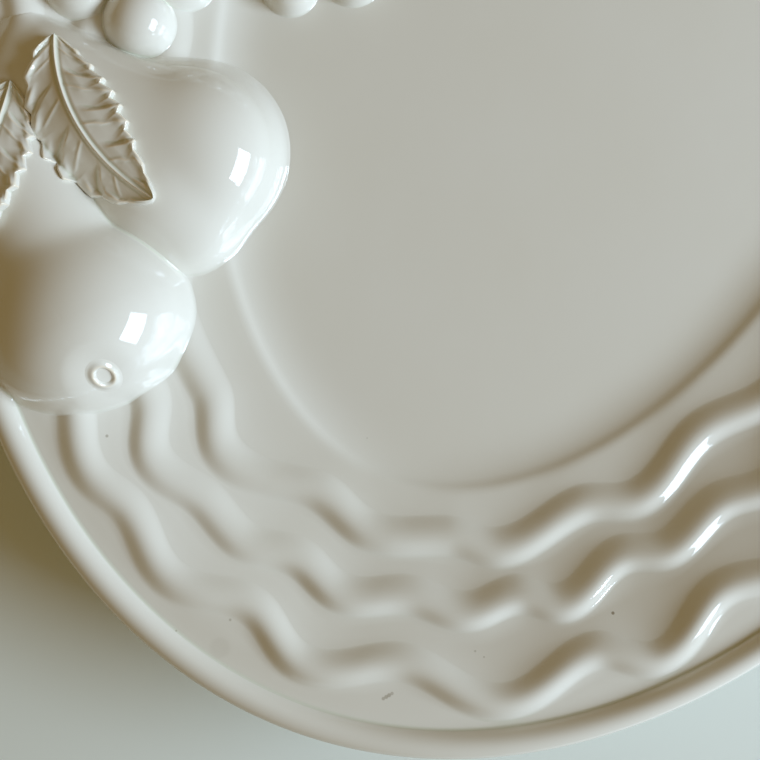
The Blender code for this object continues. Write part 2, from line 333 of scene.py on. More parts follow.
def enclosed(mesh: bpy.types.Mesh) -> float:
    """Volume inside a closed mesh, negative where its faces look inward."""
    mesh.calc_loop_triangles()
    points = np.empty(len(mesh.vertices) * 3)
    mesh.vertices.foreach_get("co", points)
    corners = np.empty(len(mesh.loop_triangles) * 3, dtype=np.int64)
    mesh.loop_triangles.foreach_get("vertices", corners)
    one, two, three = points.reshape(-1, 3)[corners.reshape(-1, 3)].transpose(1, 0, 2)
    return float(np.einsum("ij,ij->", one, np.cross(two, three))) / 6.0


def sheet_mesh(name: str, points: np.ndarray, columns: int, rows: int) -> bpy.types.Object:
    """Bends a grid primitive into a closed skin, merges its seam and turns it face out.

    Args:
        name: name of the new object.
        points: its places in metres, row by row, with the last column on the first.
        columns: points along a row.
        rows: number of rows.

    Returns:
        The new object, at the origin.
    """
    bpy.ops.object.select_all(action="DESELECT")
    bpy.ops.mesh.primitive_grid_add(
        x_subdivisions=columns - 1, y_subdivisions=rows - 1, size=1.0, location=(0.0, 0.0, 0.0)
    )
    made = bpy.context.object
    made.name = name
    made.data.name = name
    made.data.vertices.foreach_set("co", points.astype(np.float32).ravel())
    made.data.update()
    bpy.ops.object.mode_set(mode="EDIT")
    bpy.ops.mesh.select_all(action="SELECT")
    bpy.ops.mesh.remove_doubles(threshold=MERGE_GAP)
    bpy.ops.object.mode_set(mode="OBJECT")
    if enclosed(made.data) < 0.0:
        bpy.ops.object.mode_set(mode="EDIT")
        bpy.ops.mesh.select_all(action="SELECT")
        bpy.ops.mesh.flip_normals()
        bpy.ops.object.mode_set(mode="OBJECT")
    bpy.ops.object.shade_smooth()
    return made


@dataclass
class PlateBody:
    """The plate itself: bead, border, ridges, well, back and foot ring.

    The rows of its mesh are given by insets, by shares of a ridge's flanks and by turns of
    a rounding in degrees. They are close together where the surface bends.
    """

    relief: Relief
    columns: int = 680
    bead_rows: int = 15
    joint_rows: tuple[float, ...] = (6.9, 7.4, 8.2)
    ridge_gap: float = 0.4
    ridge_rows: tuple[float, ...] = (
        -1.0, -0.88, -0.76, -0.63, -0.5, -0.36, -0.2, 0.0,
        0.2, 0.36, 0.48, 0.58, 0.67, 0.75, 0.82, 0.89, 0.95, 1.0,
    )
    least_gap: float = 0.06
    crease_lead: float = 1.2
    crease_rows: tuple[float, ...] = (
        60.6, 61.4, 62.1, 62.7, 63.3, 64.0, 64.8, 65.8, 67.0, 68.5, 70.2, 72.2, 74.5, 77.0,
    )
    well_rows: tuple[float, ...] = (0.92, 0.75, 0.5, 0.25, 0.06, 0.0)
    edge_drop: float = 3.3
    edge_turns: tuple[float, ...] = (12.0, 28.0, 46.0, 66.0, 88.0)
    rim_rows: tuple[tuple[float, float], ...] = (
        (6.6, 1.2), (10.0, 0.2), (16.0, 0.0), (30.0, 0.0), (46.0, 0.0),
    )
    foot_turns: tuple[float, ...] = (0.0, 22.0, 45.0, 68.0, 90.0)
    corner_turns: tuple[float, ...] = (0.0, 30.0, 60.0, 90.0)
    corner_set: float = 0.1
    recess_rows: tuple[float, ...] = (0.85, 0.45, 0.0)
    hole_diameter: float = 3.0
    hole_spacing: float = 56.0
    hole_lift: float = 3.0
    drill_length: float = 30.0

    def front_insets(self, distance: np.ndarray) -> np.ndarray:
        """Insets of the front's rows at each column, following the ridges.

        Args:
            distance: distances of the columns along the outline.

        Returns:
            One row of insets for each row of the mesh.
        """
        section = self.relief.section
        half = 0.5 * section.bead_width
        turn = np.linspace(0.0, math.pi, self.bead_rows)
        rows = [np.full_like(distance, s) for s in half * (1.0 - np.cos(turn))]
        rows += [np.full_like(distance, s) for s in self.joint_rows]
        for ridge in self.relief.ridges:
            crest = ridge.crest(distance, self.relief.girth)
            stretch = ridge.stretch(distance, self.relief.girth)
            last = rows[-1]
            start = np.maximum(crest - ridge.outer_flank * stretch, last + self.ridge_gap)
            rows += [last + (start - last) * step for step in (0.35, 0.7)]
            for share in self.ridge_rows:
                flank = ridge.outer_flank if share < 0.0 else ridge.inner_flank
                place = crest + share * flank * stretch
                rows.append(np.maximum(place, rows[-1] + self.least_gap))
        last = rows[-1]
        end = section.crease_start - self.crease_lead
        rows += [last + (end - last) * step for step in (0.4, 0.8)]
        rows += [np.full_like(distance, s) for s in self.crease_rows]
        return np.array(rows)

    def back_rows(self) -> list[tuple[float, float]]:
        """Insets and lifts of the rows of the back, from the bead's edge to the recess."""
        section = self.relief.section
        half = 0.5 * section.bead_width
        corner, root = section.foot_round, section.foot_root
        outer, inner = section.foot_outer, section.foot_outer + section.foot_width
        down, up = self.corner_turns, self.corner_turns[::-1]
        rows = []
        for sin, cos in arc(self.edge_turns):
            rows.append((half - half * cos, section.top_lift - self.edge_drop * sin))
        for inset, thinner in self.rim_rows:
            rows.append((inset, float(section.plain(inset)) - section.wall + thinner))
        base = float(section.plain(section.crease_start)) - section.wall + section.foot_lead
        foot = outer - section.foot_draft - root
        for sin, cos in arc(self.foot_turns):
            rows.append((foot + root * sin, base - root + (root + section.foot_flare) * cos))
        for sin, cos in arc(down):
            rows.append((outer - self.corner_set + corner * (1.0 - cos), corner * (1.0 - sin)))
        for sin, cos in arc(up):
            rows.append((inner + self.corner_set - corner * (1.0 - cos), corner * (1.0 - sin)))
        recess = float(section.plain(section.well_start)) - section.wall
        side = inner + section.foot_draft
        for sin, cos in arc(up):
            rows.append((side + root * (1.0 - sin), recess - root * (1.0 - cos)))
        return rows

    def build(self) -> bpy.types.Object:
        """Makes the plate's mesh and drills its wire holes.

        Returns:
            The plate's object.
        """
        oval = self.relief.oval
        distance = np.linspace(0.0, self.relief.girth, self.columns + 1)
        distance[-1] = 0.0
        angle = oval.angle_at(distance)
        insets = self.front_insets(distance)
        lifts = self.relief.lift_at(np.broadcast_to(distance, insets.shape), insets)
        lifts[0] = self.relief.section.top_lift
        right, up = oval.point(angle, insets)
        rows_right, rows_up, rows_lift = list(right[::-1]), list(up[::-1]), list(lifts[::-1])
        for share in self.well_rows:
            rows_right.insert(0, right[-1] * share)
            rows_up.insert(0, up[-1] * share)
            rows_lift.insert(0, lifts[-1])
        for inset, lift in self.back_rows():
            x, y = oval.point(angle, np.full_like(distance, inset))
            rows_right.append(x)
            rows_up.append(y)
            rows_lift.append(np.full_like(distance, lift))
        for share in self.recess_rows:
            rows_right.append(x * share)
            rows_up.append(y * share)
            rows_lift.append(np.full_like(distance, lift))
        points = world_points(np.array(rows_right), np.array(rows_up), np.array(rows_lift), oval)
        plate = sheet_mesh("plate_body", points, self.columns + 1, len(rows_right))
        self.drill(plate)
        return plate

    def drill(self, plate: bpy.types.Object) -> None:
        """Cuts the two wire holes through the top of the foot ring."""
        oval = self.relief.oval
        for side in (-1.0, 1.0):
            right = side * self.hole_spacing / 2.0
            angle = -math.acos(right / (oval.half_width - oval.foot_inset))
            x, y = oval.point(np.array(angle), np.array(oval.foot_inset))
            place = (float(x) * MM, -self.hole_lift * MM, (float(y) + oval.centre_z) * MM)
            bpy.ops.object.select_all(action="DESELECT")
            bpy.ops.mesh.primitive_cylinder_add(
                vertices=24, radius=self.hole_diameter / 2.0 * MM,
                depth=self.drill_length * MM, location=place,
            )
            drill = bpy.context.object
            cut = plate.modifiers.new("wire_hole", "BOOLEAN")
            cut.operation = "DIFFERENCE"
            cut.solver = "EXACT"
            cut.object = drill
            bpy.ops.object.select_all(action="DESELECT")
            bpy.context.view_layer.objects.active = plate
            plate.select_set(True)
            bpy.ops.object.modifier_apply(modifier=cut.name)
            bpy.data.objects.remove(drill, do_unlink=True)


@dataclass
class Fruit:
    """A fruit of the swag: the skin round a chain of balls along its axis.

    Each ball is given by right, up, the lift of its middle, and its radius. A dimple is
    given by right, up, its radius and its depth. A fruit can be blunt towards one turn,
    and has a soft, wide joint at its foot towards another.
    """

    name: str
    balls: tuple[tuple[float, float, float, float], ...]
    bulge: float = 0.8
    joint: float = 2.2
    soft_turn: float = 0.0
    soft_joint: float = 0.0
    dimple: tuple[float, float, float, float] | None = None
    rings: int = 54
    spokes: int = 240
    steepest: float = 0.965
    blend: float = 0.7
    blend_rise: float = 2.0
    blunt_turn: float = 0.0
    blunt: float = 0.0
    links: int = 72
    margin: float = 6.0
    foot_inside: float = 1.3
    foot_outside: float = 1.6

    @cached_property
    def chain(self) -> np.ndarray:
        """The balls, filled in closely along a smooth axis."""
        given = np.array(self.balls, float)
        if len(given) == 1:
            return given
        along = np.concatenate([[0.0], np.cumsum(np.hypot(*np.diff(given[:, :2], axis=0).T))])
        fine = np.linspace(0.0, along[-1], self.links)
        slopes = np.gradient(given, along, axis=0)
        index = np.clip(np.searchsorted(along, fine, side="right") - 1, 0, len(given) - 2)
        gap = (along[index + 1] - along[index])[:, None]
        t = (fine[:, None] - along[index][:, None]) / gap
        return ((2 * t ** 3 - 3 * t ** 2 + 1) * given[index]
                + (t ** 3 - 2 * t ** 2 + t) * gap * slopes[index]
                + (3 * t ** 2 - 2 * t ** 3) * given[index + 1]
                + (t ** 3 - t ** 2) * gap * slopes[index + 1])

    @property
    def middle(self) -> tuple[float, float]:
        """Where the largest ball is."""
        largest = max(self.balls, key=lambda ball: ball[3])
        return largest[0], largest[1]

    @property
    def span(self) -> float:
        """How far from its middle the fruit can reach."""
        far = [math.hypot(b[0] - self.middle[0], b[1] - self.middle[1]) + b[3] for b in self.balls]
        return max(far) + self.margin

    def lift(self, right: np.ndarray, up: np.ndarray) -> np.ndarray:
        """Lift of the fruit alone, going on steeply down past its outline.

        Args:
            right: places to the right of the plate's middle.
            up: places above it.

        Returns:
            The lifts, blended smoothly over the balls.
        """
        chain = self.chain
        swing = math.radians(self.blunt_turn)
        ahead = ((right - self.middle[0]) * math.cos(swing)
                 + (up - self.middle[1]) * math.sin(swing))
        push = self.blunt * np.maximum(ahead, 0.0)
        far_x, far_y = right + push * math.cos(swing), up + push * math.sin(swing)
        away = np.hypot(far_x[..., None] - chain[:, 0], far_y[..., None] - chain[:, 1])
        share = away / chain[:, 3]
        edge = self.steepest
        level = math.sqrt(1.0 - edge * edge)
        inside = np.sqrt(np.clip(1.0 - share * share, 1.0 - edge * edge, 1.0))
        rise = np.where(share < edge, inside, level - (share - edge) * edge / level)
        skin = chain[:, 2] + self.bulge * chain[:, 3] * rise
        top = skin.max(axis=-1)
        if len(chain) > 1:
            near = np.exp((skin - top[..., None]) / self.blend).mean(axis=-1)
            top = top + self.blend * (np.log(near) + self.blend_rise)
        if self.dimple:
            x, y, radius, depth = self.dimple
            near = np.clip(1.0 - np.hypot(right - x, up - y) / radius, 0.0, 1.0)
            top = top - depth * near * near * (3.0 - 2.0 * near)
        return top

    def reach(self, right: np.ndarray, up: np.ndarray) -> np.ndarray:
        """Reach of the joint at the fruit's foot, wider on its soft side."""
        turn = np.arctan2(up - self.middle[1], right - self.middle[0])
        facing = np.clip(np.cos(turn - math.radians(self.soft_turn)), 0.0, 1.0)
        return self.joint + self.soft_joint * facing ** 3

    def build(self, ground: Ground) -> bpy.types.Object:
        """Makes the fruit's mesh, standing on the ground so far.

        Rings of points run round its middle, and are close together at its foot.

        Args:
            ground: what lies under it.

        Returns:
            The fruit's object.
        """
        turn = np.linspace(0.0, 2.0 * math.pi, self.spokes + 1)
        turn[-1] = 0.0
        cos, sin = np.cos(turn)[None, :], np.sin(turn)[None, :]
        x, y = self.middle
        probe = np.linspace(0.05, 1.0, 150)[:, None] * self.span
        own = self.lift(x + probe * cos, y + probe * sin)
        above = own > ground.lift(x + probe * cos, y + probe * sin)
        last = above.shape[0] - 1 - np.argmax(above[::-1], axis=0)
        foot = np.where(above.any(axis=0), probe[last, 0], 0.4 * self.span)
        for _ in range(3):
            sides = np.roll(foot[:-1], 1) + np.roll(foot[:-1], -1)
            foot[:-1] = 0.5 * foot[:-1] + 0.25 * sides
        foot[-1] = foot[0]
        swing = np.linspace(0.0, 0.5 * math.pi, self.rings)[:-1]
        dome = np.sin(swing)[:, None] * (foot - self.foot_inside)[None, :]
        reach = float(self.joint + self.soft_joint)
        steps = np.concatenate([
            np.linspace(-self.foot_inside, self.foot_outside, 18),
            self.foot_outside + np.linspace(0.3, 1.0 + reach, 8),
        ])
        inset = ground.relief.oval.nearest(x + probe * cos, y + probe * sin)[1]
        room = probe[(inset > ground.relief.section.bead_width / 3.0).sum(axis=0) - 1, 0]
        away = np.minimum(np.vstack([dome, foot[None, :] + steps[:, None]]), room[None, :])
        right, up = x + away * cos, y + away * sin
        lift = skirted(self.lift(right, up), ground.lift(right, up), self.reach(right, up))
        rows = [(right, up, lift)]
        for part in (0.7, 0.0):
            low_x, low_y = x + away[-1:] * cos * part, y + away[-1:] * sin * part
            rows.append((low_x, low_y, ground.relief.plain(low_x, low_y) - UNDERSIDE))
        return closed_piece(self.name, rows, ground)


class Ground:
    """What lies under the next form of the swag: the plate and the forms so far."""

    def __init__(self, relief: Relief) -> None:
        """Starts from the bare plate.

        Args:
            relief: the plain front.
        """
        self.relief = relief
        self.fruit: list[Fruit] = []

    def lift(self, right: np.ndarray, up: np.ndarray) -> np.ndarray:
        """Lift of everything so far, with its joints."""
        total = self.relief.lift(right, up)
        for fruit in self.fruit:
            away = np.hypot(right - fruit.middle[0], up - fruit.middle[1])
            near = away < fruit.span + fruit.margin
            if near.any():
                x, y = right[near], up[near]
                total[near] = soft_max(total[near], fruit.lift(x, y), fruit.reach(x, y))
        return total


def skirted(own: np.ndarray, ground: np.ndarray, joint: float | np.ndarray) -> np.ndarray:
    """Lift of a form with its joint, sinking under the ground where that takes over.

    Args:
        own: lifts of the form alone.
        ground: lifts of what lies under it.
        joint: reach of the joint.

    Returns:
        Lifts for the form's mesh.
    """
    gap = ground - own
    sink = np.clip((gap - 0.9 * joint) * 0.35, 0.0, 1.6)
    return soft_max(own, ground, joint) - sink


def closed_piece(name: str, rows: list[tuple[np.ndarray, ...]],
                 ground: Ground) -> bpy.types.Object:
    """Makes a closed mesh from rows of places.

    Args:
        name: name of the new object.
        rows: right, up and lift of each row, or of several rows at once.
        ground: what lies under the piece.

    Returns:
        The new object.
    """
    stacked = [np.vstack([row[k] for row in rows]) for k in range(3)]
    points = world_points(*stacked, ground.relief.oval)
    return sheet_mesh(name, points, stacked[0].shape[1], stacked[0].shape[0])


@dataclass
class Eye:
    """The blossom end of a fruit: a raised ring with a hollow in it.

    Its place is given by right and up, and it leans by so much for each unit of its rise.
    """

    name: str
    place: tuple[float, float]
    lean: tuple[float, float]
    ring_radius: float = 2.2
    ring_width: float = 0.8
    ring_rise: float = 0.55
    hollow: float = 1.15
    outer: float = 4.9
    edge: float = 1.4
    sunk: float = 0.5
    deep: float = 3.0
    spokes: int = 96
    rings: int = 44

    def profile(self, away: np.ndarray) -> np.ndarray:
        """Rise over the skin at distances from the eye's middle."""
        ring = self.ring_rise * np.exp(-((away - self.ring_radius) / self.ring_width) ** 2)
        bowl = -self.hollow * (1.0 - smooth_step(0.0, self.ring_radius, away))
        return ring + bowl - self.sunk * smooth_step(self.outer - self.edge, self.outer, away)

    def build(self, ground: Ground) -> bpy.types.Object:
        """Makes the eye's mesh, square to the skin it sits in.

        Args:
            ground: what lies under it.

        Returns:
            The eye's object.
        """
        turn = np.linspace(0.0, 2.0 * math.pi, self.spokes + 1)
        turn[-1] = 0.0
        away = np.linspace(0.0, self.outer, self.rings)[:, None]
        across, above = away * np.cos(turn)[None, :], away * np.sin(turn)[None, :]
        x, y = self.place[0] + across, self.place[1] + above
        skin = ground.lift(x, y)
        rise = self.profile(np.broadcast_to(away, x.shape))
        rows = [(x + self.lean[0] * rise, y + self.lean[1] * rise, skin + rise)]
        for part in (0.6, 0.0):
            rows.append((self.place[0] + across[-1:] * part, self.place[1] + above[-1:] * part,
                         np.full_like(x[-1:], float(skin.min()) - self.deep)))
        return closed_piece(self.name, rows, ground)


@dataclass
class Leaf:
    """A toothed leaf with a raised midrib, cupped halves and folded lobes.

    Stalk and tip are given by right and up. Its edge rolls out and down by edge_steps.
    """

    name: str
    stalk: tuple[float, float]
    tip: tuple[float, float]
    half_width: float
    bow: float = 2.0
    teeth: int = 9
    stands: float = 1.6
    cup: float = 0.8
    widest: float = 0.46
    fold: float = 1.0
    vein: float = 0.22
    glint: float = 0.6
    rib: float = 0.6
    rib_width: float = 0.26
    groove: float = 0.3
    tooth_peak: float = 0.7
    tooth_root: float = 0.88
    tooth_length: float = 0.14
    clearance: float = 0.35
    edge_steps: tuple[tuple[float, float], ...] = (
        (0.28, 0.25), (0.42, 0.8), (0.5, 1.8), (0.6, 6.0),
    )
    stations: int = 260
    across: int = 44

    def spine(self, share: np.ndarray) -> tuple[np.ndarray, ...]:
        """Places along the bowed midrib, and the direction across it at each."""
        start, end = np.array(self.stalk), np.array(self.tip)
        along = end - start
        unit = along / float(np.hypot(*along))
        side = np.array([-unit[1], unit[0]])
        bow = self.bow * 4.0 * share * (1.0 - share)
        slope = self.bow * 4.0 * (1.0 - 2.0 * share) / float(np.hypot(*along))
        right = start[0] + along[0] * share + side[0] * bow
        up = start[1] + along[1] * share + side[1] * bow
        length = np.hypot(1.0, slope)
        return (right, up, (side[0] - slope * unit[0]) / length,
                (side[1] - slope * unit[1]) / length)

    def lobe(self, share: np.ndarray, away: np.ndarray) -> np.ndarray:
        """Which tooth a place is on: whole numbers are folds, which slant to the tip."""
        return self.teeth * (share ** 0.92 - 0.13 * away)

    def width(self, share: np.ndarray) -> np.ndarray:
        """Half the width of the blade, with its teeth."""
        power = math.log(0.5) / math.log(self.widest)
        rise = np.sin(math.pi * np.clip(share, 0.0, 1.0) ** power)
        plain = self.half_width * np.clip(rise, 0.0, 1.0) ** 0.75
        phase = np.mod(self.lobe(share, np.ones_like(share)), 1.0)
        peak = self.tooth_peak
        tooth = np.where(phase < peak, phase / peak, (1.0 - phase) / (1.0 - peak))
        return plain * (self.tooth_root + self.tooth_length * tooth)

    def blade(self, share: np.ndarray, away: np.ndarray, signed: np.ndarray) -> np.ndarray:
        """Relief of the blade over its smooth sheet.

        Args:
            share: how far along the leaf, from 0 to 1.
            away: how far from the midrib to the edge, from 0 to 1.
            signed: distance from the midrib, negative on one side.

        Returns:
            Lifts of hollows, folds, veins, tooth tips and midrib together.
        """
        body = np.clip(np.sin(math.pi * share), 0.0, 1.0) ** 0.5
        hollow = -self.cup * np.sin(math.pi * np.clip(away, 0.0, 1.0) ** 1.15) * body
        coarse = np.mod(0.5 * self.lobe(share, away) + np.where(signed > 0.0, 0.25, 0.0), 1.0)
        uneven = 1.0 + 0.35 * np.sin(9.0 * share + np.where(signed > 0.0, 0.0, 2.1))
        fold = self.fold * uneven * (1.0 - coarse) ** 0.7 * smooth_step(0.0, 0.16, coarse)
        fold = fold * smooth_step(0.10, 0.50, away) * body
        vein = self.vein * np.exp(-((coarse - 0.5) / 0.05) ** 2)
        vein = vein * smooth_step(0.06, 0.2, away) * (1.0 - smooth_step(0.55, 0.9, away)) * body
        fine = np.mod(self.lobe(share, away), 1.0)
        tip = self.glint * np.exp(-((away - 0.89) / 0.11) ** 2 - ((fine - 0.62) / 0.28) ** 2)
        rib = self.rib * np.exp(-(signed / self.rib_width) ** 2) * (1.0 - 0.6 * share)
        groove = -self.groove * np.exp(-((np.abs(signed) - 0.75) / 0.4) ** 2) * body
        return hollow + fold + vein + tip + rib + groove

    def sheet(self, along: np.ndarray, reach: np.ndarray, below: np.ndarray) -> np.ndarray:
        """A smooth sheet that follows the ground loosely and stays over it.

        Args:
            along: how far along the leaf each place is.
            reach: its distance from the midrib.
            below: lift of the ground there.

        Returns:
            Lifts of the sheet.
        """
        s, w = along.ravel(), reach.ravel()
        basis = np.stack([np.ones_like(s), s, w, s ** 2, w ** 2, s * w, s ** 3, s ** 2 * w], axis=1)
        weights = np.linalg.lstsq(basis, below.ravel(), rcond=None)[0]
        smooth = (basis @ weights).reshape(below.shape) + self.stands
        return soft_max(smooth, below + self.clearance, 1.2)

    def build(self, ground: Ground) -> bpy.types.Object:
        """Makes the leaf's mesh, draped over the ground so far.

        Rows run along the leaf, from one edge over the blade to the other and back under it.

        Args:
            ground: what lies under it.

        Returns:
            The leaf's object.
        """
        share = np.linspace(0.0, 1.0, self.stations)
        ramp = np.linspace(0.0, 1.0, self.across)
        lanes = np.concatenate([-ramp[::-1], ramp[1:]])
        spine_x, spine_y, side_x, side_y = self.spine(share)
        width = self.width(share)
        width[0], width[-1] = 0.0, 0.0
        reach = lanes[:, None] * width[None, :]
        right = spine_x[None, :] + side_x[None, :] * reach
        up = spine_y[None, :] + side_y[None, :] * reach
        along = np.broadcast_to(share[None, :], right.shape)
        away = np.broadcast_to(np.abs(lanes)[:, None], right.shape)
        lift = self.sheet(along, reach, ground.lift(right, up)) + self.blade(along, away, reach)
        wall = np.clip(width * 2.0, 0.0, 1.0)
        edges = []
        for lane in (0, -1):
            outward = math.copysign(1.0, lanes[lane])
            steps = []
            for out, down in self.edge_steps:
                x = right[lane] + side_x * outward * out * wall
                y = up[lane] + side_y * outward * out * wall
                deep = ground.relief.plain(x, y) - UNDERSIDE
                steps.append((x, y, np.maximum(lift[lane] - down * wall, deep)))
            edges.append(steps)
        rows = [(right[i], up[i], lift[i]) for i in range(len(lanes))]
        return closed_piece(self.name, edges[0][::-1] + rows + edges[1] + [edges[0][-1]], ground)


def linear(colour: str) -> tuple[float, float, float, float]:
    """An sRGB hex colour as linear red, green, blue and a full alpha."""
    parts = [int(colour[i:i + 2], 16) / 255.0 for i in (1, 3, 5)]
    red, green, blue = (
        part / 12.92 if part <= 0.04045 else ((part + 0.055) / 1.055) ** 2.4 for part in parts
    )
    return red, green, blue, 1.0


def add_node(tree: bpy.types.NodeTree, kind: str, links: dict | None = None,
             **settings: object) -> bpy.types.Node:
    """Adds a node with its settings and its links.

    Args:
        tree: the node tree.
        kind: the node's type.
        links: input name or number to the socket that feeds it, or to its value.
        settings: properties of the node.

    Returns:
        The new node.
    """
    node = tree.nodes.new(kind)
    for name, value in settings.items():
        setattr(node, name, value)
    for name, source in (links or {}).items():
        if isinstance(source, bpy.types.NodeSocket):
            tree.links.new(source, node.inputs[name])
        else:
            node.inputs[name].default_value = source
    return node


def mark_hollows(piece: bpy.types.Object, passes: int = 3) -> None:
    """Stores how hollow the surface is at each point, which is where glaze pools.

    Args:
        piece: the piece to mark. It gets the attribute "pooling", 0.5 on even ground.
        passes: how often the result is averaged with its neighbours.
    """
    mesh = piece.data
    count = len(mesh.vertices)
    points = np.empty(count * 3)
    mesh.vertices.foreach_get("co", points)
    points = points.reshape(-1, 3)
    normals = np.empty(count * 3)
    mesh.vertices.foreach_get("normal", normals)
    normals = normals.reshape(-1, 3)
    edges = np.empty(len(mesh.edges) * 2, dtype=np.int64)
    mesh.edges.foreach_get("vertices", edges)
    a, b = edges.reshape(-1, 2).T
    span = points[b] - points[a]
    squared = np.maximum(np.einsum("ij,ij->i", span, span), 1e-12)
    bend = np.zeros(count)
    share = np.zeros(count)
    for here, way in ((a, 1.0), (b, -1.0)):
        np.add.at(bend, here, 2.0 * way * np.einsum("ij,ij->i", span, normals[here]) / squared)
        np.add.at(share, here, 1.0)
    value = bend / np.maximum(share, 1.0) * MM
    for _ in range(passes):
        total = np.zeros(count)
        np.add.at(total, a, value[b])
        np.add.at(total, b, value[a])
        value = 0.5 * value + 0.5 * total / np.maximum(share, 1.0)
    layer = mesh.attributes.new("pooling", "FLOAT", "POINT")
    layer.data.foreach_set("value", np.clip(0.5 + 0.5 * value, 0.0, 1.0).astype(np.float32))


@dataclass(frozen=True)
class Speck:
    """A small dark speck on the glaze, a flaw or, at one crumb, painted shadow: its place on the
    front, its radius and its darkness.
    """

    right: float
    up: float
    lift: float
    radius: float
    dark: float


@dataclass(frozen=True)
class CreamGlaze:
    """White earthenware under a clear, glossy, slightly uneven lead-free glaze.

    To the eye it is a warm near-white with sharp, mirror-like highlights. The glaze is a
    shade greener where it pools, and thinner and warmer over sharp edges. The foot ring's
    bearing edge is wiped clean, and shows the pale brown clay. Pools and thins are the
    values of the pooling attribute where each starts to show and is full.
    """

    body: str = "#E9E6DD"
    cloud: str = "#E5E1D5"
    pooled: str = "#DCDCCC"
    thin: str = "#EDE3D0"
    clay: str = "#CBB390"
    # Colour of the dark specks: glaze flaws, and painted shadow at one crumb.
    speck_and_shadow: str = "#8C7F66"
    roughness: float = 0.055
    clay_roughness: float = 0.75
    ior: float = 1.52
    pools: tuple[float, float] = (0.53, 0.80)
    thins: tuple[float, float] = (0.42, 0.10)
    speck_core: float = 0.55
    cloud_mm: float = 38.0
    wave_mm: float = 9.0
    wave_depth_mm: float = 0.06
    wave_strength: float = 0.5
    bare_above: float = -0.35

    def make(self, oval: Oval) -> bpy.types.Material:
        """Makes the glaze's material.

        Args:
            oval: the plate's outline, for the places of the dark specks, which are glaze flaws and,
                at one crumb, painted shadow.

        Returns:
            The material.
        """
        material = bpy.data.materials.new("cream_earthenware_glaze")
        material.use_nodes = True
        tree = material.node_tree
        shader = tree.nodes["Principled BSDF"]
        place = add_node(tree, "ShaderNodeTexCoord").outputs["Object"]
        cloud = add_node(tree, "ShaderNodeTexNoise",
                         {"Vector": place, "Scale": 1.0 / (self.cloud_mm * MM), "Detail": 2.0})
        colour = self.blend(tree, cloud.outputs["Fac"], linear(self.body), linear(self.cloud))
        pooling = add_node(tree, "ShaderNodeAttribute", attribute_name="pooling").outputs["Fac"]
        hollow = self.ramp(tree, pooling, *self.pools)
        colour = self.blend(tree, hollow, colour, linear(self.pooled))
        sharp = self.ramp(tree, pooling, *self.thins)
        colour = self.blend(tree, sharp, colour, linear(self.thin))
        # Darkens the colour round each speck: glaze flaws, and four specks of painted shadow where
        # a small crumb would cast one.
        for dark_spot in FLAWS_AND_PAINTED_SHADOW:
            middle = (dark_spot.right * MM, -dark_spot.lift * MM, (dark_spot.up + oval.centre_z) * MM)
            gap = add_node(tree, "ShaderNodeVectorMath", {0: place, 1: middle},
                           operation="DISTANCE").outputs["Value"]
            near = self.ramp(tree, gap, dark_spot.radius * MM, self.speck_core * dark_spot.radius * MM)
            amount = add_node(tree, "ShaderNodeMath", {0: near, 1: dark_spot.dark},
                              operation="MULTIPLY").outputs["Value"]
            colour = self.blend(tree, amount, colour, linear(self.speck_and_shadow))
        depth = add_node(tree, "ShaderNodeSeparateXYZ", {"Vector": place}).outputs["Y"]
        bare = self.ramp(tree, depth, self.bare_above * MM, self.bare_above * 0.5 * MM)
        colour = self.blend(tree, bare, colour, linear(self.clay))
        tree.links.new(colour, shader.inputs["Base Color"])
        gloss = add_node(tree, "ShaderNodeMapRange",
                         {"Value": bare, "To Min": self.roughness, "To Max": self.clay_roughness})
        tree.links.new(gloss.outputs["Result"], shader.inputs["Roughness"])
        shader.inputs["IOR"].default_value = self.ior
        wave = add_node(tree, "ShaderNodeTexNoise",
                        {"Vector": place, "Scale": 1.0 / (self.wave_mm * MM), "Detail": 1.0})
        bump = add_node(tree, "ShaderNodeBump",
                        {"Height": wave.outputs["Fac"], "Strength": self.wave_strength,
                         "Distance": self.wave_depth_mm * MM})
        tree.links.new(bump.outputs["Normal"], shader.inputs["Normal"])
        return material

    def blend(self, tree: bpy.types.NodeTree, share: bpy.types.NodeSocket, low: object,
              high: object) -> bpy.types.NodeSocket:
        """Mixes two colours by a share and returns the result's socket."""
        mix = add_node(tree, "ShaderNodeMix", {0: share, 6: low, 7: high}, data_type="RGBA")
        return mix.outputs[2]

    def ramp(self, tree: bpy.types.NodeTree, value: bpy.types.NodeSocket, low: float,
             high: float) -> bpy.types.NodeSocket:
        """Goes smoothly from 0 at low to 1 at high and returns the result's socket."""
        span = add_node(tree, "ShaderNodeMapRange",
                        {"Value": value, "From Min": low, "From Max": high},
                        interpolation_type="SMOOTHSTEP")
        return span.outputs["Result"]


@dataclass(frozen=True)
class PlainPaint:
    """Matt pale paint for the wall behind, which gives the eye nothing to rest on."""

    colour: str = "#E6EBE4"
    roughness: float = 0.85

    def make(self) -> bpy.types.Material:
        """Makes the paint's material."""
        material = bpy.data.materials.new("pale_wall_paint")
        material.use_nodes = True
        shader = material.node_tree.nodes["Principled BSDF"]
        shader.inputs["Base Color"].default_value = linear(self.colour)
        shader.inputs["Roughness"].default_value = self.roughness
        return material


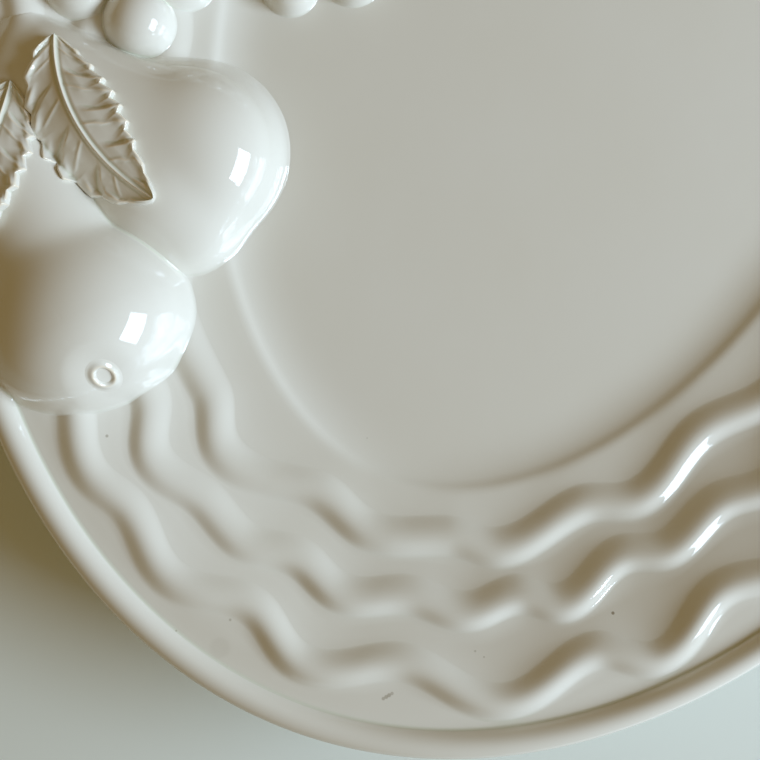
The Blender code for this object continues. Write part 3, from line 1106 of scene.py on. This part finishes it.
# Dark specks on the glaze: pinholes and smudges, and the last four, which paint shadow.
FLAWS_AND_PAINTED_SHADOW = (
    Speck(61.9, -148.8, 23.4, 0.5, 0.8),
    Speck(33.7, -168.7, 23.8, 0.35, 0.35),
    Speck(36.1, -169.2, 24.2, 0.3, 0.35),
    Speck(-23.5, -181.1, 25.8, 0.4, 0.4),
    Speck(-34.3, -187.7, 26.2, 0.35, 0.4),
    Speck(-65.4, -151.1, 24.7, 0.45, 0.5),
    Speck(-7.9, -130.8, 13.3, 0.35, 0.4),
    Speck(-23.4, -187.9, 26.2, 3.0, 0.08),
    # These four paint a short dark stroke: a small brownish mark together with the painted shadow
    # of a raised glaze crumb, which is not modelled.
    Speck(16.7, -186.1, 26.0, 0.55, 0.45),
    Speck(17.2, -185.5, 26.0, 0.6, 0.5),
    Speck(17.7, -184.9, 26.0, 0.6, 0.5),
    Speck(18.2, -184.3, 26.0, 0.5, 0.4),
)

RIDGES = (
    Ridge(((179, 12.3), (196, 19.3), (222, 12.4), (251, 21.2), (278, 15.0), (299, 21.2),
           (323, 14.3), (342, 17.5), (357, 14.4)), 23.0, 13.5, 19.5),
    Ridge(((162, 32.8), (177, 36.5), (199, 31.1), (214, 35.3), (231, 32.7), (251, 35.8),
           (275, 32.3), (294, 35.3), (316, 30.8), (329, 31.4), (350, 27.4), (369, 33.6)),
          19.0, 31.0, 35.4, outer_flank=4.7, inner_flank=5.4),
    Ridge(((161, 46.6), (182, 51.2), (215, 46.9), (238, 50.5), (272, 48.3), (299, 51.1),
           (340, 41.6), (361, 46.6)), 29.0, 46.0, 51.4, outer_flank=5.1, inner_flank=5.4),
)


def grape(number: int, right: float, up: float, lift: float, radius: float = 8.2) -> Fruit:
    """One grape of the bunch."""
    return Fruit(f"grape_{number:02d}", ((right, up, lift, radius),), bulge=1.0, joint=1.3,
                 rings=30, spokes=96)


FRUIT = (
    Fruit("pear_long",
          ((-77.5, -89.0, 16.3, 20.2), (-68.2, -97.6, 16.0, 12.6), (-69.3, -89.0, 17.0, 15.1),
           (-70.6, -80.0, 18.0, 17.9), (-81.0, -81.5, 18.6, 17.2), (-90.0, -82.0, 19.2, 16.6),
           (-101.0, -79.0, 21.0, 13.5), (-113.0, -76.0, 22.0, 10.5)),
          bulge=0.82, joint=3.6, soft_turn=62.0, soft_joint=5.5, rings=60, spokes=280),
    Fruit("pear_low",
          ((-79.8, -129.3, 20.5, 24.3), (-87.5, -122.0, 21.0, 18.5), (-98.0, -111.5, 22.0, 15.0),
           (-105.0, -105.0, 23.0, 12.5), (-109.0, -100.0, 23.0, 10.5)),
          bulge=0.93, joint=2.6, dimple=(-68.6, -138.4, 9.0, 1.5), blunt_turn=-42.0,
          blunt=0.19, rings=64, spokes=300),
    grape(1, -94.0, -57.8, 20.5, 7.9),
    grape(2, -109.5, -55.0, 23.0),
    grape(3, -64.8, -34.5, 14.5, 6.3),
    grape(4, -52.0, -25.5, 13.0, 7.8),
    grape(5, -90.5, -42.5, 21.0),
    grape(6, -76.0, -30.0, 18.0),
    grape(7, -65.0, -20.0, 16.0),
    grape(8, -78.0, -14.5, 19.0),
    grape(9, -104.0, -38.5, 25.0),
    grape(10, -90.5, -26.5, 24.5),
    grape(11, -118.0, -43.0, 24.0),
    grape(12, -105.0, -22.5, 27.0),
    grape(13, -93.0, -10.5, 24.0),
    grape(14, -119.0, -27.0, 25.0),
    grape(15, -108.0, -6.5, 25.5),
    grape(16, -120.5, -11.0, 23.5),
    Fruit("apple", ((-88.0, 51.0, 19.0, 24.6),), bulge=0.86, joint=2.4,
          dimple=(-92.0, 66.0, 9.0, 2.6), rings=60, spokes=240),
    Fruit("pear_high",
          ((-66.0, 101.0, 18.0, 23.0), (-75.0, 93.5, 19.0, 20.5), (-86.0, 85.0, 20.5, 16.0),
           (-95.5, 77.5, 22.0, 12.0), (-101.5, 73.0, 22.5, 9.5)),
          bulge=0.85, dimple=(-52.5, 112.0, 9.0, 1.8), rings=60, spokes=280),
)

EYES = (
    Eye("pear_low_eye", (-69.0, -137.4), (0.45, -0.45)),
    Eye("pear_high_eye", (-53.5, 111.5), (0.45, 0.40)),
    Eye("apple_eye", (-92.0, 66.0), (-0.15, 0.45), ring_radius=2.4, ring_rise=0.5, hollow=1.1),
)

LEAVES = (
    Leaf("leaf_photographed", (-107.0, -70.0), (-73.2, -96.5), 10.3, bow=-6.0),
    Leaf("leaf_low_left", (-113.0, -83.0), (-105.0, -121.0), 8.5, bow=-1.0),
    Leaf("leaf_grapes_top", (-118.0, 8.0), (-66.0, 14.0), 12.5, bow=3.0, teeth=10),
    Leaf("leaf_apple_left", (-106.0, 76.2), (-108.0, 116.7), 10.0, bow=-2.2),
    Leaf("leaf_apple_right", (-76.0, 78.0), (-40.0, 66.0), 10.5, bow=2.5),
    Leaf("leaf_top", (-58.0, 126.0), (-24.0, 152.0), 10.5, bow=2.5),
)


@dataclass(frozen=True)
class PhotographCamera:
    """The camera at the photograph's viewing angle, close over the lower left."""

    place: tuple[float, float, float] = (-0.02387, -0.26002, -0.24997)
    turn: tuple[float, float, float] = (90.5769, -20.8395, -3.4201)
    focal_pixels: float = 1000.0
    frame_pixels: float = 760.0
    sensor_mm: float = 36.0
    nearest: float = 0.01

    def build(self) -> bpy.types.Object:
        """Adds the camera and makes it the scene's."""
        data = bpy.data.cameras.new("camera")
        data.sensor_width = self.sensor_mm
        data.lens = self.sensor_mm * self.focal_pixels / self.frame_pixels
        data.clip_start = self.nearest
        camera = bpy.data.objects.new("camera", data)
        camera.location = self.place
        camera.rotation_euler = Euler([math.radians(v) for v in self.turn])
        bpy.context.scene.collection.objects.link(camera)
        bpy.context.scene.camera = camera
        return camera


@dataclass(frozen=True)
class Studio:
    """A pale wall behind the plate, a window low on its right and a warm, dim room."""

    window_elevation: float = 23.5
    window_turn: float = 1.0
    window_distance: float = 1.1
    window_size: tuple[float, float] = (0.46, 0.70)
    window_power: float = 17.8
    window_colour: tuple[float, float, float] = (0.655, 0.82, 1.0)
    room: tuple[float, float, float] = (0.230, 0.165, 0.069)
    aim_front: float = 0.02
    wall_size: float = 6.0
    wall_gap: float = 0.0005

    def build(self, oval: Oval) -> None:
        """Adds the wall and the lights.

        Args:
            oval: the plate's outline, at whose middle the window aims.
        """
        bpy.context.scene.view_settings.view_transform = "Standard"
        aim = Vector((0.0, -self.aim_front, oval.centre_z * MM))
        rise, turn = math.radians(self.window_elevation), math.radians(self.window_turn)
        away = Vector((math.cos(rise) * math.cos(turn), -math.sin(rise),
                       math.cos(rise) * math.sin(turn)))
        data = bpy.data.lights.new("window", "AREA")
        data.shape = "RECTANGLE"
        data.size, data.size_y = self.window_size
        data.energy = self.window_power
        data.color = self.window_colour
        window = bpy.data.objects.new("window", data)
        window.location = aim + away * self.window_distance
        window.rotation_euler = (-away).to_track_quat("-Z", "Y").to_euler()
        bpy.context.scene.collection.objects.link(window)
        world = bpy.data.worlds.new("warm_room")
        bpy.context.scene.world = world
        world.use_nodes = True
        back = world.node_tree.nodes["Background"]
        back.inputs["Color"].default_value = (*self.room, 1.0)
        back.inputs["Strength"].default_value = 1.0
        bpy.ops.object.select_all(action="DESELECT")
        bpy.ops.mesh.primitive_plane_add(size=self.wall_size, location=(0.0, self.wall_gap, 0.0),
                                         rotation=(math.radians(90), 0.0, 0.0))
        wall = bpy.context.object
        wall.name = "wall"
        wall.data.materials.append(PlainPaint().make())


def finish_piece(piece: bpy.types.Object, material: bpy.types.Material) -> None:
    """Dresses a piece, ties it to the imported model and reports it.

    Args:
        piece: the piece.
        material: what it is made of.
    """
    mark_hollows(piece)
    piece.data.materials.clear()
    piece.data.materials.append(material)
    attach(piece, "root")
    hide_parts(NODE)
    faces = sum(len(p.vertices) - 2 for p in piece.data.polygons)
    LOG.info("%s: %d triangles", piece.name, faces)


def main() -> None:
    """Builds the plate, its swag and the studio."""
    logging.basicConfig(level=logging.INFO, format="%(message)s")
    oval = Oval()
    relief = Relief(oval, Section(), RIDGES)
    glaze = CreamGlaze().make(oval)
    finish_piece(PlateBody(relief).build(), glaze)
    ground = Ground(relief)
    for fruit in FRUIT:
        finish_piece(fruit.build(ground), glaze)
        ground.fruit.append(fruit)
    for relief_piece in (*EYES, *LEAVES):
        finish_piece(relief_piece.build(ground), glaze)
    PhotographCamera().build()
    Studio().build(oval)


if __name__ == "__main__":
    main()
